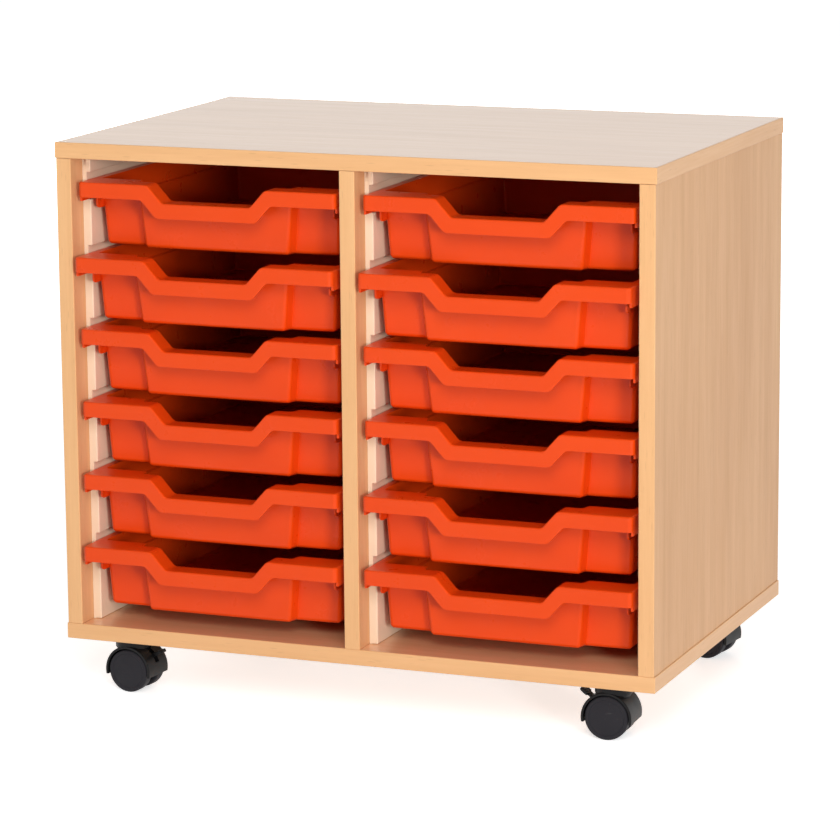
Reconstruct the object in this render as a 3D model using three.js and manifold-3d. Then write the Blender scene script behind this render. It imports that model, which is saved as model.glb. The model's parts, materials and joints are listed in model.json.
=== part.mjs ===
// Classroom tray storage unit on castors: a two-bay board carcass with grooved runner panels,
// shallow trays that slide in the grooves, and four twin-wheel castors, the front two with brakes.
// Millimetres, +Z up. X runs across the unit, the tray fronts face -Y and the floor is Z = 0.
import * as THREE from "three";
import { mergeVertices } from "three/addons/utils/BufferGeometryUtils.js";
import Module from "manifold-3d";

const wasm = await Module();
wasm.setup();

// Tray
const trayWidth = 312;
const trayDepth = 427;
const trayHeight = 75;
const trayWall = 2.5;
const rimThickness = 3;
const lipThickness = 2.5;
const endLipDrop = 17;
const sideLipDrop = 22;
const dipDepth = 20;
const dipFloorHalf = 53;
const dipSlope = 18;
const dipFillet = 8;
const panelMargin = 13.5;
const panelTaper = 7;
const panelFlank = 3;
const panelProud = 14;
const lipReach = 24;
const sideDraft = 3;
const endDraft = 4;
const shoulderStep = 3;
const shoulderSlope = 1.5;
const shoulderBelowDip = 4;
const lipStep = 1;
const rimCorner = 5;
const bodyCorner = 5;
const cornerSteps = 2;

// Rows of trays, and how far behind the carcass front each tray stands when at rest
const trayGap = 8;
const baseGap = 17.5;
const headGap = 26.5;
const trayHome = 8;
const traySetbacks = {
  left: [4, -10, 0, 0, -3, -7],
  right: [6, -11, 2, 4, -4, -4],
};

// Runner panels
const runnerWeb = 5;
const grooveDepth = 5;
const grooveClearance = 1.25;
const grooveHeadroom = 8;
const runnerClearance = 4.25;
const runnerSetback = 29;
const trayLift = 0.3;
const stopLength = 16.5;
const stopClearance = 0.5;

// Carcass boards
const boardThickness = 18;
const backThickness = 18;
const edgeBand = 1.5;
const boardOverhang = 1.5;
const glueLine = 0.2;

// Castors
const wheelRadius = 25;
const wheelWidth = 15;
const wheelChamfer = 2.5;
const wheelSides = 24;
const wheelGap = 0.8;
const discDome = 1.5;
const axleRadius = 3;
const discThickness = 4;
const runningGap = 0.3;
const castorTrail = 9;
const cheek = 2.4;
const bossRadius = 9;
const hoodGap = 1.2;
const hoodWall = 2.8;
const hoodSkirt = 5.5;
const hoodInset = 0.8;
const hoodSides = 28;
const pinSides = 12;
const turretRadius = 21;
const turretShift = 6;
const turretRise = 8;
const turretWaist = 15;
const turretBelt = 11;
const turretTaper = 9;
const swivelGap = 0.5;
const kingpinRadius = 5;
const kingpinDepth = 12;
const plateSize = 50;
const plateCorner = 6;
const plateThickness = 2.5;
const castorSideInset = 56;
const castorFrontInset = 46;
const castorRearInset = 59;
const castorYaw = { front_left: -5, front_right: 182, rear_left: 10, rear_right: 172 };

// Brakes on the front castors
const leverPivotRadius = 19;
const leverPivotAngle = 42;
const leverTilt = { front_left: 26, front_right: 38 };
const leverThickness = 4;
const leverWidth = 7;
const leverHub = 4;
const leverRoom = 1.5;
const paddleClearance = 4;
const paddleLength = 11;
const paddleWidth = 14;
const slotBelow = 22;
const slotAbove = 16;
const brakePinRadius = 1.5;
const braked = Object.keys(leverTilt);

// Sizes that follow from the ones above
const rows = traySetbacks.left.length;
const trayPitch = trayHeight + trayGap;
const runnerThickness = runnerWeb + grooveDepth;
const bayWidth = trayWidth + 2 * (grooveClearance + runnerWeb);
const bayCentre = (bayWidth + boardThickness) / 2;
const carcassWidth = 2 * bayWidth + 3 * boardThickness;
const unitWidth = carcassWidth + 2 * boardOverhang;
const unitDepth = trayHome + trayDepth + stopClearance + stopLength + backThickness;
const bayHeight = baseGap + rows * trayPitch - trayGap + headGap;
const flangeReach = grooveDepth - grooveClearance + runnerClearance;
const front = -unitDepth / 2;
const back = unitDepth / 2;
const backFace = back - backThickness;
const axleHeight = wheelRadius * Math.cos(Math.PI / wheelSides);
const hoodInner = wheelRadius + hoodGap;
const hoodOuter = hoodInner + hoodWall;
const turretTop = axleHeight + hoodOuter + turretRise;
const plateBottom = turretTop + swivelGap;
const baseUnderside = plateBottom + plateThickness + glueLine;
const baseTop = baseUnderside + boardThickness;
const topUnderside = baseTop + bayHeight;
const dipAngle = Math.atan2(dipDepth, dipSlope);
const dipTopHalf = dipFloorHalf + dipSlope;
const shoulderDepth = rimThickness + dipDepth + shoulderBelowDip;
const lipSpread = endLipDrop * Math.tan(dipAngle / 2);
const panelTopHalf = dipTopHalf + lipSpread + panelMargin;
const webHalf = leverWidth / 2 + runningGap + cheek;
const wheelInner = webHalf + wheelGap;
const wheelOuter = wheelInner + wheelWidth;
const boreEnd = wheelOuter - discThickness;
const paddleStart = hoodOuter - leverPivotRadius + paddleClearance;
const leverReach = paddleStart + paddleLength;

const materials = {
  beech: { color: 0xe9bd8d, roughness: 0.45, metalness: 0 },
  edging: { color: 0xf0bf8a, roughness: 0.4, metalness: 0 },
  runner: { color: 0xeee0c8, roughness: 0.5, metalness: 0 },
  tray: { color: 0xee4a1e, roughness: 0.35, metalness: 0 },
  castor: { color: 0x222224, roughness: 0.4, metalness: 0 },
  wheel: { color: 0x3a393c, roughness: 0.6, metalness: 0 },
  plate: { color: 0x1d1d1f, roughness: 0.5, metalness: 0 },
  steel: { color: 0x8f9194, roughness: 0.35, metalness: 1 },
};

// A named piece with its own material
function piece(name, geometry, finish) {
  const mesh = new THREE.Mesh(geometry, new THREE.MeshStandardMaterial(materials[finish]));
  mesh.name = name;
  return mesh;
}

// A box between two corners
function block(low, high) {
  const size = high.map((value, axis) => value - low[axis]);
  const middle = high.map((value, axis) => (value + low[axis]) / 2);
  return new THREE.BoxGeometry(...size).translate(...middle);
}

// A closed geometry as a solid that can be joined and cut
function solid(geometry) {
  const bare = geometry.clone();
  bare.deleteAttribute("normal");
  bare.deleteAttribute("uv");
  const merged = mergeVertices(bare);
  const vertProperties = merged.attributes.position.array;
  const triVerts = new Uint32Array(merged.index.array);
  return new wasm.Manifold(new wasm.Mesh({ numProp: 3, vertProperties, triVerts }));
}

// The geometry of a solid
function geometryOf(shape) {
  const mesh = shape.getMesh();
  const geometry = new THREE.BufferGeometry();
  geometry.setAttribute("position", new THREE.BufferAttribute(mesh.vertProperties, 3));
  geometry.setIndex(new THREE.BufferAttribute(mesh.triVerts, 1));
  const flat = geometry.toNonIndexed();
  flat.computeVertexNormals();
  return flat;
}

// A profile in X and Z, extruded along Y between two places
function extrudeAlongY(outline, from, to) {
  const shape = new THREE.Shape(outline.map(([x, z]) => new THREE.Vector2(x, z)));
  const bar = new THREE.ExtrudeGeometry(shape, { depth: to - from, bevelEnabled: false });
  return bar.rotateX(Math.PI / 2).translate(0, to, 0);
}

// A round bar along Y, with a flat side facing down
function barAlongY(radius, from, to, sides) {
  const bar = new THREE.CylinderGeometry(radius, radius, to - from, sides);
  return bar.rotateY(Math.PI / sides).translate(0, (from + to) / 2, 0);
}

// A round bar along Z
function barAlongZ(radius, from, to, sides) {
  const bar = new THREE.CylinderGeometry(radius, radius, to - from, sides);
  return bar.rotateX(Math.PI / 2).translate(0, 0, (from + to) / 2);
}

// A rectangle with rounded corners, as a shape in X and Y
function roundedRectangle(width, depth, radius) {
  const x = width / 2;
  const y = depth / 2;
  const shape = new THREE.Shape();
  shape.moveTo(-x + radius, -y);
  shape.lineTo(x - radius, -y).absarc(x - radius, -y + radius, radius, -Math.PI / 2, 0);
  shape.lineTo(x, y - radius).absarc(x - radius, y - radius, radius, 0, Math.PI / 2);
  shape.lineTo(-x + radius, y).absarc(-x + radius, y - radius, radius, Math.PI / 2, Math.PI);
  shape.lineTo(-x, -y + radius).absarc(-x + radius, -y + radius, radius, Math.PI, 1.5 * Math.PI);
  return shape;
}

// A top or base board: a core inside a ring of edging
function addBoard(group, name, low) {
  const high = low + boardThickness;
  const coreX = unitWidth / 2 - edgeBand - glueLine;
  const coreY = unitDepth / 2 - edgeBand - glueLine;
  group.add(piece(`${name}_panel`, block([-coreX, -coreY, low], [coreX, coreY, high]), "beech"));
  const ring = new THREE.Shape();
  ring.moveTo(-unitWidth / 2, front).lineTo(unitWidth / 2, front);
  ring.lineTo(unitWidth / 2, back).lineTo(-unitWidth / 2, back);
  const inside = new THREE.Path();
  const insideX = unitWidth / 2 - edgeBand;
  const insideY = unitDepth / 2 - edgeBand;
  inside.moveTo(-insideX, -insideY).lineTo(-insideX, insideY);
  inside.lineTo(insideX, insideY).lineTo(insideX, -insideY);
  ring.holes.push(inside);
  const band = new THREE.ExtrudeGeometry(ring, { depth: boardThickness, bevelEnabled: false });
  group.add(piece(`${name}_edge_band`, band.translate(0, 0, low), "edging"));
}

// An upright board with a strip of edging on its front edge
function addUpright(group, name, bandName, left, rear) {
  const low = baseTop + glueLine;
  const high = topUnderside - glueLine;
  const right = left + boardThickness;
  const core = block([left, front + edgeBand + glueLine, low], [right, rear, high]);
  group.add(piece(name, core, "beech"));
  group.add(piece(bandName, block([left, front, low], [right, front + edgeBand, high]), "edging"));
}

function makeCarcass() {
  const group = new THREE.Group();
  addBoard(group, "top", topUnderside);
  addBoard(group, "base", baseUnderside);
  const sideLeft = -carcassWidth / 2;
  const sideRight = carcassWidth / 2 - boardThickness;
  addUpright(group, "left_side_panel", "left_side_edge_band", sideLeft, back);
  addUpright(group, "right_side_panel", "right_side_edge_band", sideRight, back);
  addUpright(group, "centre_divider", "divider_edge_band", -boardThickness / 2, backFace - glueLine);
  const reach = carcassWidth / 2 - boardThickness - glueLine;
  const low = [-reach, backFace, baseTop + glueLine];
  const high = [reach, back, topUnderside - glueLine];
  group.add(piece("back_panel", block(low, high), "beech"));
  return group;
}

// Height of a row's rim above the floor, counting rows from the top
function rimHeight(row) {
  return topUnderside - headGap - row * trayPitch;
}

// A runner panel stands against an upright at X = 0 and faces +X: one groove for each tray,
// closed at the back by a stop
function runnerGeometry() {
  const low = baseTop + glueLine;
  const high = topUnderside - glueLine;
  const outline = [[glueLine, low], [runnerThickness, low]];
  for (let row = rows - 1; row >= 0; row -= 1) {
    const ledge = rimHeight(row) - sideLipDrop - trayLift;
    const ceiling = rimHeight(row) + grooveHeadroom;
    outline.push([runnerThickness, ledge], [runnerWeb, ledge]);
    outline.push([runnerWeb, ceiling], [runnerThickness, ceiling]);
  }
  outline.push([runnerThickness, high], [glueLine, high]);
  const stopFace = backFace - stopLength;
  const comb = solid(extrudeAlongY(outline, front + runnerSetback, stopFace));
  const stop = block([glueLine, stopFace, low], [runnerThickness, backFace - glueLine, high]);
  return geometryOf(comb.add(solid(stop)));
}

function makeRunners() {
  const group = new THREE.Group();
  const geometry = runnerGeometry();
  for (const [bay, side] of [["left", -1], ["right", 1]]) {
    for (const [hand, facing] of [["left", 1], ["right", -1]]) {
      const runner = piece(`${bay}_bay_${hand}_runner`, geometry.clone(), "runner");
      runner.position.x = side * bayCentre - (facing * bayWidth) / 2;
      runner.scale.x = facing;
      group.add(runner);
    }
  }
  return group;
}

// Places across the front of a tray where the hand dip bends, with the drop of the rim at each
function dipStations() {
  const tangent = dipFillet * Math.tan(dipAngle / 2);
  const along = tangent * Math.cos(dipAngle);
  const down = tangent * Math.sin(dipAngle);
  return [
    [dipTopHalf + tangent, 0],
    [dipTopHalf - along, down],
    [dipFloorHalf + along, dipDepth - down],
    [dipFloorHalf - tangent, dipDepth],
  ];
}

// One closed outline of the tray, seen from above and running anticlockwise from the front left.
// Each point is [x, y, drop of the rim, true on the long sides]; y counts back from the lip.
function trayOutline({ half, frontY, backY, corner, panelHalf, panelRise, dipSpread = 0 }) {
  const stations = dipStations().map(([x, drop]) => [x + dipSpread, drop]);
  const ends = stations.map(([x, drop]) => [-x, drop]);
  ends.push(...stations.toReversed());
  const points = [];
  const addCorner = (x, y, startAngle) => {
    for (let step = 0; step <= cornerSteps; step += 1) {
      const angle = startAngle + (step / cornerSteps) * (Math.PI / 2);
      points.push([x + corner * Math.cos(angle), y + corner * Math.sin(angle), 0, false]);
    }
  };
  const sideStart = frontY + corner + lipStep;
  const sideEnd = backY - corner - lipStep;
  addCorner(-half + corner, frontY + corner, Math.PI);
  points.push([-panelHalf - panelFlank, frontY, 0, false], [-panelHalf, frontY - panelRise, 0, false]);
  for (const [x, drop] of ends) points.push([x, frontY - panelRise, drop, false]);
  points.push([panelHalf, frontY - panelRise, 0, false], [panelHalf + panelFlank, frontY, 0, false]);
  addCorner(half - corner, frontY + corner, -Math.PI / 2);
  points.push([half, sideStart, 0, true], [half, sideEnd, 0, true]);
  addCorner(half - corner, backY - corner, 0);
  for (const [x, drop] of ends.toReversed()) points.push([x, backY, drop, false]);
  addCorner(-half + corner, backY - corner, Math.PI / 2);
  points.push([-half, sideEnd, 0, true], [-half, sideStart, 0, true]);
  return points;
}

// A skin through rings of equal counts, closed by a fan at each end
function loft(rings) {
  const count = rings[0].length;
  const position = rings.flat(2);
  const index = [];
  const addFan = (ring, first, reverse) => {
    const centre = position.length / 3;
    const total = ring.reduce((sum, point) => sum.map((value, axis) => value + point[axis]), [0, 0, 0]);
    position.push(...total.map((value) => value / count));
    for (let i = 0; i < count; i += 1) {
      const pair = [first + i, first + ((i + 1) % count)];
      index.push(centre, ...(reverse ? pair.reverse() : pair));
    }
  };
  for (let ring = 0; ring < rings.length - 1; ring += 1) {
    for (let i = 0; i < count; i += 1) {
      const a = ring * count + i;
      const b = ring * count + ((i + 1) % count);
      index.push(a, b, b + count, a, b + count, a + count);
    }
  }
  addFan(rings[0], 0, true);
  addFan(rings.at(-1), (rings.length - 1) * count, false);
  const geometry = new THREE.BufferGeometry();
  geometry.setAttribute("position", new THREE.Float32BufferAttribute(position, 3));
  geometry.setIndex(index);
  return geometry.toNonIndexed();
}

// A tray hangs from its rim: Z = 0 is the top of the rim and Y = 0 the face of the front lip
function trayGeometry() {
  const half = trayWidth / 2;
  const bodyHalf = half - flangeReach;
  const wallFront = lipReach + panelProud;
  const wallBack = trayDepth - lipReach;
  const panel = { panelHalf: panelTopHalf, panelRise: panelProud };
  const flat = { panelHalf: panelTopHalf, panelRise: 0 };
  const lip = (inset) => ({
    half: half - inset,
    frontY: inset,
    backY: trayDepth - inset,
    corner: rimCorner,
    ...flat,
  });
  const wall = (inset) => ({
    half: bodyHalf - inset,
    frontY: wallFront + inset,
    backY: wallBack - inset,
    corner: bodyCorner,
    ...panel,
  });
  // The sides step in below a shoulder, and the ends run on past it with an even draft
  const draftShare = (shoulderDepth - rimThickness) / (trayHeight - rimThickness);
  const shoulder = (inset, step) => ({
    half: bodyHalf - step - inset,
    frontY: wallFront + endDraft * draftShare + inset,
    backY: wallBack - endDraft * draftShare - inset,
    corner: bodyCorner,
    panelHalf: panelTopHalf - panelTaper * draftShare,
    panelRise: panelProud,
  });
  const foot = (inset) => ({
    half: bodyHalf - shoulderStep - sideDraft - inset,
    frontY: wallFront + endDraft + inset,
    backY: wallBack - endDraft - inset,
    corner: bodyCorner,
    panelHalf: panelTopHalf - panelTaper,
    panelRise: panelProud,
  });
  const level = (outline, height) => trayOutline(outline).map(([x, y]) => [x, y, height]);
  const rim = (outline, depth) => trayOutline(outline).map(([x, y, drop]) => [x, y, -depth - drop]);
  // The lip keeps its width round the dip, so its foot is spread outwards at the slopes
  const lipFoot = (outline) => {
    const spread = trayOutline({ ...outline, dipSpread: lipSpread });
    return spread.map(([x, y, drop, side]) => [x, y, -(side ? sideLipDrop : endLipDrop) - drop]);
  };
  return loft([
    level(foot(0), -trayHeight),
    level(shoulder(0, shoulderStep), -shoulderDepth - shoulderSlope),
    level(shoulder(0, 0), -shoulderDepth),
    rim(wall(0), rimThickness),
    rim(lip(lipThickness), rimThickness),
    lipFoot(lip(lipThickness)),
    lipFoot(lip(0)),
    rim(lip(0), 0),
    rim(wall(trayWall), 0),
    level(shoulder(trayWall, 0), trayWall - shoulderDepth),
    level(shoulder(trayWall, shoulderStep), trayWall - shoulderDepth - shoulderSlope),
    level(foot(trayWall), trayWall - trayHeight),
  ]);
}

function makeTrays() {
  const group = new THREE.Group();
  const geometry = trayGeometry();
  for (const [bay, side] of [["left", -1], ["right", 1]]) {
    traySetbacks[bay].forEach((setback, row) => {
      const tray = piece(`${bay}_tray_${row + 1}`, geometry.clone(), "tray");
      tray.position.set(side * bayCentre, front + setback, rimHeight(row));
      group.add(tray);
    });
  }
  return group;
}

// A wheel turns about Y with its plain disc outwards, and has a blind bore for the axle
function wheelGeometry() {
  const bore = axleRadius + runningGap;
  const profile = [
    [0, wheelOuter],
    [wheelRadius - wheelChamfer, wheelOuter - discDome],
    [wheelRadius, wheelOuter - discDome - wheelChamfer],
    [wheelRadius, wheelInner + wheelChamfer],
    [wheelRadius - wheelChamfer, wheelInner],
    [bore, wheelInner],
    [bore, boreEnd],
    [0, boreEnd],
  ];
  const points = profile.map(([radius, place]) => new THREE.Vector2(radius, place)).toReversed();
  const flatDown = Math.PI / wheelSides;
  return new THREE.LatheGeometry(points, wheelSides, flatDown);
}

// The slot that the brake lever swings in: a wedge about the wheel's axis, out through the hood
function leverSlot(outer, half) {
  const at = (radius, degrees) => {
    const angle = THREE.MathUtils.degToRad(degrees);
    return [radius * Math.cos(angle), radius * Math.sin(angle)];
  };
  const inner = leverPivotRadius - leverHub - leverRoom;
  const low = leverPivotAngle - slotBelow;
  const high = leverPivotAngle + slotAbove;
  const outline = [at(inner, low), at(outer, low), at(outer, high), at(inner, high)];
  return extrudeAlongY(outline, -half, half);
}

// The hood swivels about Z = the castor's axis and covers the upper half of both wheels
function hoodGeometry(hasBrake) {
  const atWheel = (geometry) => solid(geometry.translate(castorTrail, 0, axleHeight));
  const half = wheelOuter - hoodInset;
  const far = 2 * hoodOuter;
  const shell = atWheel(barAlongY(hoodOuter, -half, half, hoodSides));
  const upper = atWheel(block([-far, -far, -hoodSkirt], [far, far, far]));
  const boss = atWheel(barAlongY(bossRadius, -webHalf, webHalf, pinSides));
  const turret = solid(
    new THREE.LatheGeometry(
      [
        [0, turretTop - turretBelt - turretTaper],
        [turretWaist, turretTop - turretBelt - turretTaper],
        [turretRadius, turretTop - turretBelt],
        [turretRadius, turretTop],
        [0, turretTop],
      ].map(([radius, height]) => new THREE.Vector2(radius, height)),
      hoodSides,
    )
      .rotateX(Math.PI / 2)
      .translate(turretShift, 0, 0),
  );
  let hood = shell.intersect(upper).add(turret).add(boss);
  for (const side of [-1, 1]) {
    const near = side * webHalf;
    const outside = side * far;
    const well = barAlongY(hoodInner, Math.min(near, outside), Math.max(near, outside), hoodSides);
    hood = hood.subtract(atWheel(well));
  }
  const pinHole = kingpinRadius + runningGap;
  const pinFloor = turretTop - kingpinDepth - runningGap;
  hood = hood.subtract(solid(barAlongZ(pinHole, pinFloor, turretTop + runningGap, pinSides)));
  const axleHole = barAlongY(axleRadius + runningGap, -far, far, pinSides);
  hood = hood.subtract(atWheel(axleHole));
  if (hasBrake) {
    const slot = leverWidth / 2 + runningGap;
    hood = hood.subtract(atWheel(leverSlot(far, slot)));
    const [pivotX, pivotZ] = leverPivot();
    const pinHoleGeometry = barAlongY(brakePinRadius + runningGap, -far, far, pinSides);
    hood = hood.subtract(atWheel(pinHoleGeometry.translate(pivotX, 0, pivotZ)));
  }
  return geometryOf(hood);
}

// The brake lever's pivot, from the wheel's axis
function leverPivot() {
  const angle = THREE.MathUtils.degToRad(leverPivotAngle);
  return [leverPivotRadius * Math.cos(angle), leverPivotRadius * Math.sin(angle)];
}

// The brake lever lies along +X from its pivot: a hub, an arm and a wide paddle for the toe
function leverGeometry() {
  const arm = leverThickness / 2;
  const half = leverWidth / 2;
  const paddle = paddleWidth / 2;
  const hub = solid(barAlongY(leverHub, -half, half, pinSides));
  const shank = solid(block([0, -half, -arm], [leverReach - arm, half, arm]));
  const pad = solid(block([paddleStart, -paddle, -arm], [leverReach, paddle, arm]));
  const hole = solid(barAlongY(brakePinRadius + runningGap, -paddle, paddle, pinSides));
  return geometryOf(hub.add(shank).add(pad).subtract(hole));
}

function makeCastor(corner) {
  const group = new THREE.Group();
  const name = `${corner}_castor`;
  const plateShape = roundedRectangle(plateSize, plateSize, plateCorner);
  const plate = new THREE.ExtrudeGeometry(plateShape, {
    depth: plateThickness,
    bevelEnabled: false,
    curveSegments: cornerSteps,
  });
  group.add(piece(`${name}_plate`, plate.translate(0, 0, plateBottom), "plate"));
  const turning = new THREE.Group();
  turning.rotation.z = THREE.MathUtils.degToRad(castorYaw[corner]);
  const kingpin = barAlongZ(kingpinRadius, turretTop - kingpinDepth, plateBottom - glueLine, pinSides);
  turning.add(piece(`${name}_kingpin`, kingpin, "steel"));
  turning.add(piece(`${name}_hood`, hoodGeometry(braked.includes(corner)), "castor"));
  const wheels = new THREE.Group();
  wheels.position.set(castorTrail, 0, axleHeight);
  const axleEnd = boreEnd - runningGap;
  wheels.add(piece(`${name}_axle`, barAlongY(axleRadius, -axleEnd, axleEnd, pinSides), "steel"));
  for (const [number, turn] of [[1, Math.PI], [2, 0]]) {
    const wheel = piece(`${name}_wheel_${number}`, wheelGeometry(), "wheel");
    wheel.rotation.z = turn;
    wheels.add(wheel);
  }
  if (braked.includes(corner)) {
    const pivot = new THREE.Group();
    const [pivotX, pivotZ] = leverPivot();
    pivot.position.set(pivotX, 0, pivotZ);
    const pin = barAlongY(brakePinRadius, -webHalf, webHalf, pinSides);
    pivot.add(piece(`${corner}_brake_pin`, pin, "steel"));
    const lever = piece(`${corner}_brake_lever`, leverGeometry(), "castor");
    lever.rotation.y = -THREE.MathUtils.degToRad(leverTilt[corner]);
    pivot.add(lever);
    wheels.add(pivot);
  }
  turning.add(wheels);
  group.add(turning);
  return group;
}

function makeCastors() {
  const group = new THREE.Group();
  const places = { front: front + castorFrontInset, rear: back - castorRearInset };
  for (const [end, y] of Object.entries(places)) {
    for (const [hand, side] of [["left", -1], ["right", 1]]) {
      const castor = makeCastor(`${end}_${hand}`);
      castor.position.set(side * (unitWidth / 2 - castorSideInset), y, 0);
      group.add(castor);
    }
  }
  return group;
}

// The origin is on the floor, midway between the foremost tray lip and the back of the carcass
const unit = new THREE.Group();
const proudest = Math.max(0, ...Object.values(traySetbacks).flat().map((setback) => -setback));
unit.position.y = proudest / 2;
unit.add(makeCarcass(), makeRunners(), makeTrays(), makeCastors());

export default unit;
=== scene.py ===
import json
import math

import bmesh
import bpy
from mathutils import Matrix, Vector


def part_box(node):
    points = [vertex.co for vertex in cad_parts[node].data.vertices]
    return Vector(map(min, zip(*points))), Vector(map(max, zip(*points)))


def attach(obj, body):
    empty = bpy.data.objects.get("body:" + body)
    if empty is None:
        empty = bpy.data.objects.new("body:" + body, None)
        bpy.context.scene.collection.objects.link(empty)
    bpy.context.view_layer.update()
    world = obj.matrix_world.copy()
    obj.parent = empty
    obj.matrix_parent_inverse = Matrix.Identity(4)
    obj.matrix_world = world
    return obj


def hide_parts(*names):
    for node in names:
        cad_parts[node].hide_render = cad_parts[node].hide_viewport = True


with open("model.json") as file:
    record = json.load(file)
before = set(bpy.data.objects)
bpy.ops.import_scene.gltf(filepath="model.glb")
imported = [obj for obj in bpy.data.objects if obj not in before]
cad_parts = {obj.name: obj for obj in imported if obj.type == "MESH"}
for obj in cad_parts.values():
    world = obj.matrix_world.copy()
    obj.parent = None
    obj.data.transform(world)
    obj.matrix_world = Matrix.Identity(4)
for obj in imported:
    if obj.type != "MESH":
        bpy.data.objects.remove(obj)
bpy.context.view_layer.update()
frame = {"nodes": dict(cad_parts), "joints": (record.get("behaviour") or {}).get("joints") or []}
joints = {joint["name"]: joint for joint in frame["joints"]}
mm = 0.001
bays = ("left", "right")
rowCount = 6
corners = ("front_left", "front_right", "rear_left", "rear_right")
brakedCorners = ("front_left", "front_right")
print("frame loaded,", len(frame["nodes"]), "nodes")


# modelling helpers

def deselectAll():
    bpy.ops.object.select_all(action="DESELECT")


def makeActive(obj):
    deselectAll()
    obj.select_set(True)
    bpy.context.view_layer.objects.active = obj


def startEdit(obj):
    makeActive(obj)
    bpy.ops.object.mode_set(mode="EDIT")
    bpy.ops.mesh.select_all(action="DESELECT")


def endEdit():
    bpy.ops.object.mode_set(mode="OBJECT")


# selects the vertices, edges or faces that pass a test, in the piece that is being edited
def pick(kind, test):
    bpy.ops.mesh.select_mode(type=kind)
    bpy.ops.mesh.select_all(action="DESELECT")
    mesh = bpy.context.edit_object.data
    editMesh = bmesh.from_edit_mesh(mesh)
    editMesh.normal_update()
    items = {"VERT": editMesh.verts, "EDGE": editMesh.edges, "FACE": editMesh.faces}[kind]
    chosen = [item for item in items if test(item)]
    for item in chosen:
        item.select_set(True)
    editMesh.select_flush_mode()
    bmesh.update_edit_mesh(mesh)
    return len(chosen)


def middle(edge):
    return (edge.verts[0].co + edge.verts[1].co) / 2


def span(edge):
    return edge.verts[1].co - edge.verts[0].co


def nameObject(name):
    obj = bpy.context.object
    obj.name = name
    obj.data.name = name
    bpy.ops.object.transform_apply(location=True, rotation=True, scale=True)
    return obj


def addBox(name, low, high):
    deselectAll()
    low, high = Vector(low), Vector(high)
    bpy.ops.mesh.primitive_cube_add(size=1, location=(low + high) / 2, scale=high - low)
    return nameObject(name)


def addRod(name, radius, start, end, sides):
    deselectAll()
    start, end = Vector(start), Vector(end)
    turn = (end - start).to_track_quat("Z", "Y").to_euler()
    bpy.ops.mesh.primitive_cylinder_add(vertices=sides, radius=radius, depth=(end - start).length,
                                        location=(start + end) / 2, rotation=turn)
    return nameObject(name)


def applyModifier(obj, kind, **settings):
    makeActive(obj)
    modifier = obj.modifiers.new(kind.lower(), kind)
    for key, value in settings.items():
        setattr(modifier, key, value)
    bpy.ops.object.modifier_apply(modifier=modifier.name)


def cutWith(obj, tool, operation):
    applyModifier(obj, "BOOLEAN", operation=operation, object=tool, solver="EXACT")
    bpy.data.objects.remove(tool)


def roundEdges(obj, width, segments, degrees):
    applyModifier(obj, "BEVEL", width=width, segments=segments, limit_method="ANGLE",
                  angle_limit=math.radians(degrees), use_clamp_overlap=True)


# smooth across the rounded edges, with the broad faces kept flat
def smoothByAngle(obj, degrees):
    makeActive(obj)
    bpy.ops.object.shade_smooth_by_angle(angle=math.radians(degrees))
    applyModifier(obj, "WEIGHTED_NORMAL", keep_sharp=True)


def bevelPicked(width, segments):
    bpy.ops.mesh.bevel(offset=width, segments=segments, affect="EDGES", profile=0.5)


def cutAcross(axis, place):
    normal = [0, 0, 0]
    normal[axis] = 1
    bpy.ops.mesh.select_all(action="SELECT")
    bpy.ops.mesh.bisect(plane_co=[place * value for value in normal], plane_no=normal)


def copyPiece(obj, name, place):
    copy = obj.copy()
    copy.data = obj.data.copy()
    copy.name = name
    copy.data.name = name
    copy.data.transform(place)
    bpy.context.scene.collection.objects.link(copy)
    return copy


def joinPieces(name, pieces):
    makeActive(pieces[0])
    for obj in pieces:
        obj.select_set(True)
    bpy.ops.object.join()
    return nameObject(name)


def mergeClose(obj, distance):
    startEdit(obj)
    bpy.ops.mesh.select_all(action="SELECT")
    bpy.ops.mesh.remove_doubles(threshold=distance)
    bpy.ops.mesh.select_all(action="SELECT")
    bpy.ops.mesh.dissolve_degenerate(threshold=distance)
    endEdit()


def flipNormals(obj):
    startEdit(obj)
    bpy.ops.mesh.select_all(action="SELECT")
    bpy.ops.mesh.flip_normals()
    endEdit()


def fitPiece(obj, material, body, slot, *replaced):
    obj.data.materials.clear()
    obj.data.materials.append(material)
    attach(obj, body)
    if replaced:
        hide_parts(*replaced)


# trays

trayShape = {
    "wall": 2.5 * mm, "endDrop": 17 * mm, "sideDrop": 22 * mm, "lipStep": 6 * mm,
    "dipDepth": 20 * mm, "dipFloorHalf": 53 * mm, "dipSlope": 18 * mm, "dipFillet": 8 * mm, "dipSteps": 4,
    "panelMargin": 13.5 * mm, "panelFlank": 3 * mm, "panelProud": 14 * mm, "panelTaper": 7 * mm,
    "lipReach": 24 * mm, "flangeReach": 8 * mm, "sideDraft": 3 * mm, "endDraft": 4 * mm,
    "shoulderDepth": 27 * mm, "shoulderStep": 3 * mm, "shoulderSlope": 1.5 * mm,
    "cornerRound": 3 * mm, "panelRound": 2 * mm, "flankRound": 4.5 * mm, "floorRound": 2.5 * mm,
    "rimRound": 2.2 * mm, "rimRing": 3 * mm, "mouthRound": 1 * mm, "lipCorner": 5 * mm, "lipEdge": 1 * mm,
    "fieldMargin": 16 * mm, "fieldStep": 1.5 * mm, "fieldRise": 1 * mm,
}
ribShape = {"fromEdge": 3 * mm, "thick": 2.2 * mm, "below": 32 * mm, "proud": 15 * mm, "sunk": 5 * mm,
            "footRound": 6 * mm, "edge": 0.4 * mm}


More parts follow.
